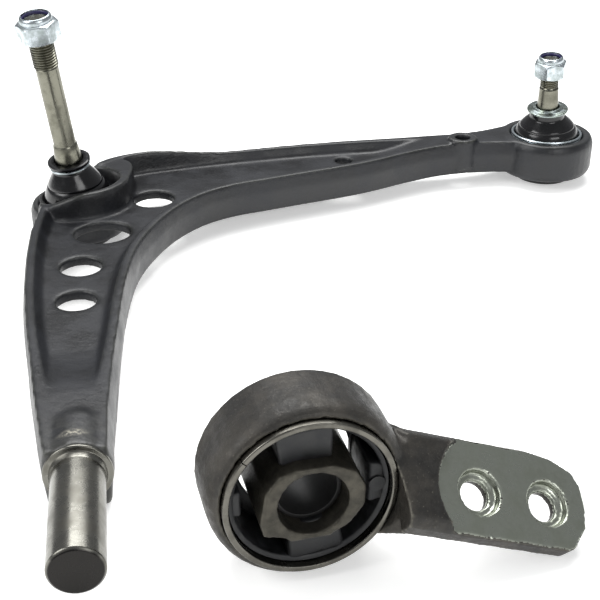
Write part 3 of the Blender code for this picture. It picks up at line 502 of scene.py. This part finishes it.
# ---------------------------------------------------------------- places
def ball_frame(centre, lean, share=1.0):
    """The stud's frame; a share below 1 gives the frame part way between the housing and it."""
    turn = (Matrix.Rotation(math.radians(lean[0]), 4, "X") @ Matrix.Rotation(math.radians(-lean[1]), 4, "Y"))
    return Matrix.Translation(centre) @ Quaternion().slerp(turn.to_quaternion(), share).to_matrix().to_4x4()


def bush_frame():
    """Z runs back along the bush axis from its front."""
    return (Matrix.Translation(BUSH_FRONT) @ Matrix.Rotation(math.radians(BUSH_TURN), 4, "Z")
            @ Matrix.Rotation(math.radians(-90), 4, "X"))


def lug_frame():
    turn, drop, twist = (math.radians(a) for a in LUG_TURNS)
    return (Matrix.Translation(BUSH_FRONT) @ Matrix.Rotation(math.radians(BUSH_TURN), 4, "Z")
            @ Matrix.Translation(LUG_HOLE) @ Matrix.Rotation(turn, 4, "Z")
            @ Matrix.Rotation(drop, 4, "Y") @ Matrix.Rotation(twist, 4, "X"))


# ---------------------------------------------------------------- the arm
def make_arm():
    """The painted forging, cut off at its shoulder, where the bare pin takes over."""
    arm = cad_copy("arm_forging", "arm_body")
    take(arm)
    bpy.ops.object.mode_set(mode="EDIT")
    bpy.ops.mesh.select_all(action="SELECT")
    bpy.ops.mesh.bisect(plane_co=(0, (SHOULDER_AT + 0.6) * MM, 0), plane_no=(0, 1, 0), use_fill=True,
                        clear_inner=True)
    bpy.ops.object.mode_set(mode="OBJECT")
    forged_skin(arm, 1.25, 5)
    dress(arm, [PAINT], "arm", ["arm_forging"])

    outline = softened([(0, 0), (9.8, 0), (11, 1.2), (11, SHOULDER_AT - 2.4), (11.9, SHOULDER_AT),
                        (14.0, SHOULDER_AT), (14.3, SHOULDER_AT + 0.8), (14.0, SHOULDER_AT + 1.8),
                        (0, SHOULDER_AT + 3)], 0.4)
    pin = turned("rear_pin", outline)
    put(pin, Matrix.Rotation(math.radians(-90), 4, "X"))
    dress(pin, [PIN_STEEL], "arm")


# ---------------------------------------------------------------- ball joints
def ball_outline():
    """Half the ball's outline from its foot up to the neck."""
    radius = BALL_RADIUS
    neck, neck_height = BALL_NECK
    end = math.acos(neck / radius)
    count = 14
    points = [(radius * math.cos(a), radius * math.sin(a))
              for a in (-math.pi / 2 + (end + math.pi / 2) * i / count for i in range(count + 1))]
    return [(0, -radius)] + points[1:] + [(neck, neck_height)]


def thread_outline(radius, start, end, pitch):
    """Crests and roots of a thread, as rings."""
    points = []
    turns = int((end - start) / pitch)
    for i in range(turns):
        low = start + i * pitch
        points += [(radius - 0.62 * pitch, low), (radius, low + 0.42 * pitch), (radius, low + 0.58 * pitch)]
    points.append((radius - 0.62 * pitch, start + turns * pitch))
    return points


def make_nut(name, place, flats, height, bore, low):
    """A hexagon lock nut: chamfered hexagon, round collar crimped over a nylon ring."""
    circum = flats / math.sqrt(3)
    body = 0.76 * height
    deselect()
    bpy.ops.mesh.primitive_cylinder_add(vertices=6, radius=circum * MM, depth=body * MM,
                                        location=(0, 0, (low + body / 2) * MM),
                                        rotation=(0, 0, math.radians(30)))
    nut = bpy.context.object
    nut.name = name
    take(nut)
    bpy.ops.object.transform_apply(location=True, rotation=True, scale=True)
    half = flats / 2
    chamfer = [(0, low), (half * 0.95, low), (circum + 0.2, low + 1.5), (circum + 0.2, low + body - 1.7),
               (half * 0.93, low + body), (0, low + body)]
    cut_with(nut, turned("chamfer_tool", chamfer), "INTERSECT")
    collar = [(0, low + body - 2), (0.44 * flats, low + body - 2), (0.43 * flats, low + height - 1.6),
              (0.39 * flats, low + height), (0, low + height)]
    cut_with(nut, turned("collar_tool", softened(collar, 0.7)), "UNION")
    seat = 0.36 * flats
    hole = [(0, low - 2), (bore + 1.1, low - 2), (bore + 0.1, low + 1.2), (bore + 0.1, low + body + 0.6),
            (seat, low + body + 0.6), (seat, low + height + 2), (0, low + height + 2)]
    cut_with(nut, turned("hole_tool", hole))
    finish_with(nut, "BEVEL", width=0.22 * MM, segments=2, limit_method="ANGLE", angle_limit=math.radians(28))
    smooth(nut, 30)
    put(nut, place)

    ring = [(bore + 0.05, low + body + 0.8), (seat - 0.1, low + body + 0.8), (seat - 0.1, low + height - 1.0),
            (bore + 0.5, low + height - 0.8), (bore + 0.05, low + height - 1.4)]
    insert = turned(f"{name}_ring", softened(ring, 0.4, closed=True), closed=True)
    put(insert, place)
    return nut, insert


def boot_bell(base, neck, bulge, fold):
    """Outside of a boot's bell: (radius, share of its height), with a fold where its bands meet."""
    points = []
    for i in range(25):
        share = i / 24
        height = share * BOOT_NECK
        radius = base + (neck - base) * share ** 1.6 + bulge * math.sin(math.pi * share)
        radius -= fold * math.exp(-((height - BOOT_FOLD) / 0.022) ** 2)
        points.append((radius, height))
    return points


def make_boot_band(name, points, centre, lean, foot, top):
    """A closed band of rubber, bent so that its upper end stands square to the stud."""
    wall = 1.5
    inner = [(radius - wall, share) for radius, share in points]
    outline = points + inner[::-1]
    band = turned(name, [(radius, 100 * share) for radius, share in outline], closed=True)
    for vert in band.data.vertices:
        share = vert.co.z / (100 * MM)
        bend = ball_frame(centre, lean, min(max(share / BOOT_NECK, 0), 1))
        height = (foot + (top - foot) * share) * MM
        vert.co = bend @ Vector((vert.co.x, vert.co.y, height))
    tidy_mesh(band)
    smooth(band, 50)
    return band


def make_boot(name, centre, lean, foot, top, bell, above):
    """Lower and upper bands, each bent towards the stud's lean by its height; they meet in the fold."""
    rising = bell + above
    low = [p for p in rising if p[1] <= BOOT_FOLD]
    high = [p for p in rising if p[1] > BOOT_FOLD]
    meeting = (min(low[-1][0], high[0][0]), BOOT_FOLD)
    lower = make_boot_band(f"{name}_lower", low + [meeting], centre, lean, foot, top)
    upper = make_boot_band(f"{name}_upper", [meeting] + high, centre, lean, foot, top)
    dress(lower, [BOOT])
    dress(upper, [BOOT])
    tall = top - foot
    heights = ((0, foot + 1), (0.55, foot + tall * BOOT_FOLD), (1, foot + tall * BOOT_NECK))
    stations = [ball_frame(centre, lean, share) @ Vector((0, 0, height * MM)) for share, height in heights]
    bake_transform(lower)
    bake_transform(upper)
    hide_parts(name)


def wire_ring(name, radius, height, wire=0.95, turns=2):
    """A clamp ring of round wire, its turns side by side."""
    coils = []
    for i in range(turns):
        middle = height + i * 1.9 * wire
        outline = [(radius + wire * math.cos(a), middle + wire * math.sin(a))
                   for a in (2 * math.pi * k / 14 for k in range(14))]
        coils.append(turned(f"{name}_{i + 1}", outline, closed=True))
    ring = join(*coils)
    ring.name = name
    return ring


def make_inner_joint():
    stud_place = ball_frame(INNER_CENTRE, INNER_LEAN)
    above = [(8.2, 19), (8.2, 30), (7.6, 38), (7.0, 42.6), (6.7, 43.0), (6.45, 43.4), (6.45, 91.6)]
    thread = thread_outline(INNER_THREAD, 92.2, 119.4, 1.5)
    outline = ball_outline() + above + thread + [(5.0, 120.4), (0, 120.4)]
    stud = turned("inner_stud", outline)
    put(stud, stud_place)
    dress(stud, [STUD_STEEL], "inner_stud", ["inner_ball_stud"])
    nut, ring = make_nut("inner_lock_nut", stud_place, 21, 14.5, INNER_THREAD, INNER_NUT_AT)
    dress(nut, [ZINC], "inner_stud", ["inner_nut"])
    dress(ring, [NYLON], "inner_stud", ["inner_nut_insert"])

    bell = boot_bell(20.4, 10.1, 0.6, 0.35)
    lip = [(10.1, 0.86), (10.1, 0.915), (12.1, 0.93), (12.5, 0.95), (12.5, 0.985), (11.8, 1.0), (10.4, 1.0)]
    make_boot("inner_boot", INNER_CENTRE, INNER_LEAN, INNER_FOOT, INNER_BOOT_TOP, bell, lip)
    garter = wire_ring("inner_garter", 11.2, 28.9, 0.8, 1)
    put(garter, stud_place)
    dress(garter, [ZINC], "inner_collar", ["inner_boot_garter"])
    base = wire_ring("inner_clamp_ring", 22.2, 4.1)
    put(base, Matrix.Translation(INNER_CENTRE))
    dress(base, [BLACK_WIRE_AND_BORE_SHADE], "arm", ["inner_boot_base_ring"])


def make_outer_joint():
    stud_place = ball_frame(OUTER_CENTRE, OUTER_LEAN)
    above = [(7.4, 19), (7.4, 26), (6.3, 43.6), (5.6, 44.0), (5.3, 44.6)]
    thread = thread_outline(OUTER_THREAD, 44.8, 63.0, 1.25)
    outline = ball_outline() + above + thread + [(4.6, 63.6), (0, 63.6)]
    stud = turned("outer_stud", outline)
    put(stud, stud_place)
    dress(stud, [STUD_STEEL], "outer_stud", ["outer_ball_stud"])
    nut, ring = make_nut("outer_lock_nut", stud_place, 19, 14, OUTER_THREAD, OUTER_NUT_AT)
    dress(nut, [ZINC], "outer_stud", ["outer_nut"])
    dress(ring, [NYLON], "outer_stud", ["outer_nut_insert"])

    bell = boot_bell(20.7, 11.5, 1.8, 0.35)
    neck = [(11.5, 0.90), (11.5, 1.0)]
    make_boot("outer_boot", OUTER_CENTRE, OUTER_LEAN, OUTER_FOOT, OUTER_BOOT_TOP, bell, neck)
    base = wire_ring("outer_clamp_ring", 22.7, 8.6)
    put(base, Matrix.Translation(OUTER_CENTRE))
    dress(base, [ZINC], "arm", ["outer_boot_base_ring"])
    profile = softened([(7.75, 27.8), (13.5, 27.8), (13.5, 29.0), (10.2, 29.3), (9.4, 30.0), (9.1, 30.8),
                        (7.75, 30.8)], 0.4, closed=True)
    collar = turned("outer_collar_ring", profile, closed=True)
    put(collar, stud_place)
    dress(collar, [COLLAR_ZINC], "outer_collar", ["outer_seal_collar"])


# ---------------------------------------------------------------- bracket and bush
def make_bracket():
    """The forging, with its milled face and bolt seats picked out as oiled bare steel."""
    bracket = cad_copy("bracket_forging", "ring_bracket")
    forged_skin(bracket, 0.8, 4)
    dress(bracket, [IRON, MILLED], "bracket", ["bracket_forging"])
    place = lug_frame()
    back = place.inverted()
    up = place.to_3x3().col[2].normalized()
    for face in bracket.data.polygons:
        local = back @ face.center
        milled = abs(local.z) < 0.35 * MM and face.normal.dot(up) > 0.93 and local.x > -22 * MM
        seat = -5 * MM < local.z < 0.4 * MM and (
            min(math.hypot(local.x, local.y), math.hypot(local.x - BOLT_SPACING, local.y)) < 9.6 * MM)
        face.material_index = 1 if milled or seat else 0


def make_bush():
    axis = bush_frame()
    rim = softened([(30.6, 0), (33.0, 0), (33.0, 35), (30.6, 35)], 0.7, closed=True)
    sleeve = turned("bush_sleeve", rim, BUSH_STEPS, closed=True)
    deselect()
    bpy.ops.mesh.primitive_cube_add(size=1, location=(-24.5 * MM, -20.6 * MM, 17 * MM))
    slit = bpy.context.object
    slit.scale = (12 * MM, 0.45 * MM, 60 * MM)
    slit.rotation_euler = (0, 0, math.radians(40))
    take(slit)
    bpy.ops.object.transform_apply(location=True, rotation=True, scale=True)
    cut_with(sleeve, slit)
    smooth(sleeve)
    put(sleeve, axis)
    dress(sleeve, [SLEEVE_STEEL], "bracket", ["bush_outer_sleeve"])

    skin_outline = softened([(30.3, 3), (30.3, 32), (28.3, 31), (28.3, 4)], 0.6, closed=True)
    skin = turned("bush_skin", skin_outline, BUSH_STEPS, closed=True)
    near_pad = block("near_pad", [(22.6, -9), (28.9, -8), (28.9, 8), (22.6, 9)], (4, 31), 1.6)
    deselect()
    bpy.ops.mesh.primitive_cylinder_add(vertices=40, radius=3.2 * MM, depth=1.2 * MM,
                                        location=(25.8 * MM, 0, 3.8 * MM))
    emboss = bpy.context.object
    take(emboss)
    bpy.ops.object.transform_apply(location=True, rotation=True, scale=True)
    far_pad = block("far_pad", [(-29.4, -5.2), (-25.2, -5.6), (-25.2, 5.6), (-29.4, 5.2)], (4, 31), 1.4)
    # painted shade: a thin dark rubber sheet closes the back of the bush's voids, so they show dark instead
    # of the floor behind
    shade_sheet_outline = softened([(22.3, 25.5), (28.9, 25.5), (28.9, 28), (22.3, 28)], 0.5, closed=True)
    shade_sheet = turned("shade_sheet_behind_voids", shade_sheet_outline, closed=True)
    skin = join(skin, near_pad, far_pad, emboss, shade_sheet)
    smooth(skin, 40)
    put(skin, axis)
    dress(skin, [RUBBER], "bracket", ["bush_rubber"])

    for name, side in (("upper_land", -1), ("lower_land", 1)):
        # the bush frame's Y runs down, so the upper land has negative Y
        wide, narrow = 11.2, 9.6
        corners = [(-narrow, side * 12.5), (narrow, side * 12.5), (wide, side * 29.0), (-wide, side * 29.0)]
        if side < 0:
            corners = [corners[3], corners[2], corners[1], corners[0]]
        land = block(name, corners, (3.6, 31.4), 1.8)
        put(land, axis @ Matrix.Rotation(math.radians(-4 if side < 0 else -6), 4, "Z"))
        dress(land, [RUBBER])
        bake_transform(land)

    core = cad_copy("bush_inner_core", "bush_core_casting")
    forged_skin(core, 0.6, 16)
    dress(core, [CORE], "bush_core", ["bush_inner_core"])
    tube = softened([(11.35, 6.5), (13.1, 6.5), (13.1, 36.5), (11.35, 36.5)], 0.4, closed=True)
    liner = turned("bush_liner", tube, closed=True)
    put(liner, axis)
    # painted shade: the bore liner takes the black wire finish so the bore shows dark
    dress(liner, [BLACK_WIRE_AND_BORE_SHADE], "bush_core", ["bush_bore_liner"])


def finish_hidden_nodes():
    """Covers, springs and cups keep their solids and take a real finish."""
    finishes = (("cover_plate", ZINC), ("preload_spring", STUD_STEEL), ("bearing_cup", ACETAL))
    for side in ("inner", "outer"):
        for part, material in finishes:
            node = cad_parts[f"{side}_{part}"]
            node.data.materials.clear()
            node.data.materials.append(material)


# ---------------------------------------------------------------- studio
def soft_light(name, place, aim, width, power, tint="ffffff"):
    lamp = bpy.data.lights.new(name, "AREA")
    lamp.shape = "RECTANGLE"
    lamp.size = width[0]
    lamp.size_y = width[1]
    lamp.energy = power
    lamp.color = hex_colour(tint)[:3]
    obj = bpy.data.objects.new(name, lamp)
    bpy.context.scene.collection.objects.link(obj)
    obj.location = place
    obj.rotation_euler = (Vector(aim) - Vector(place)).to_track_quat("-Z", "Y").to_euler()


def make_studio():
    deselect()
    bpy.ops.mesh.primitive_plane_add(size=12, location=(0, 0, TABLE_Z))
    floor = bpy.context.object
    floor.name = "floor"
    material, _, shader, _ = new_finish("floor_white", "f6f6f4", 0.75)
    shader.inputs["Emission Color"].default_value = hex_colour("ffffff")
    shader.inputs["Emission Strength"].default_value = 0.42
    floor.data.materials.append(material)

    world = bpy.data.worlds.new("studio")
    bpy.context.scene.world = world
    world.use_nodes = True
    background = world.node_tree.nodes["Background"]
    background.inputs["Color"].default_value = hex_colour("f4f6fa")
    background.inputs["Strength"].default_value = 0.38

    middle = (0.14, 0.24, 0)
    soft_light("top_softbox", (0.2, 0.75, 1.25), middle, (1.3, 0.9), 26)
    soft_light("left_softbox", (-1.1, -0.1, 0.9), middle, (0.8, 0.8), 12)
    soft_light("front_fill", (0.7, -1.2, 0.8), middle, (0.9, 0.5), 7)

    camera = bpy.data.cameras.new("camera")
    camera.lens = 67.22
    camera.sensor_width = 36
    camera.clip_start = 0.01
    eye = bpy.data.objects.new("camera", camera)
    bpy.context.scene.collection.objects.link(eye)
    eye.location = (0.0302, -0.3125, 0.2739)
    eye.rotation_euler = (math.radians(90 - 28.38), 0, math.radians(-9.14))
    bpy.context.scene.camera = eye
    bpy.context.scene.view_settings.view_transform = "Standard"


make_arm()
make_inner_joint()
make_outer_joint()
make_bracket()
make_bush()
finish_hidden_nodes()
make_studio()
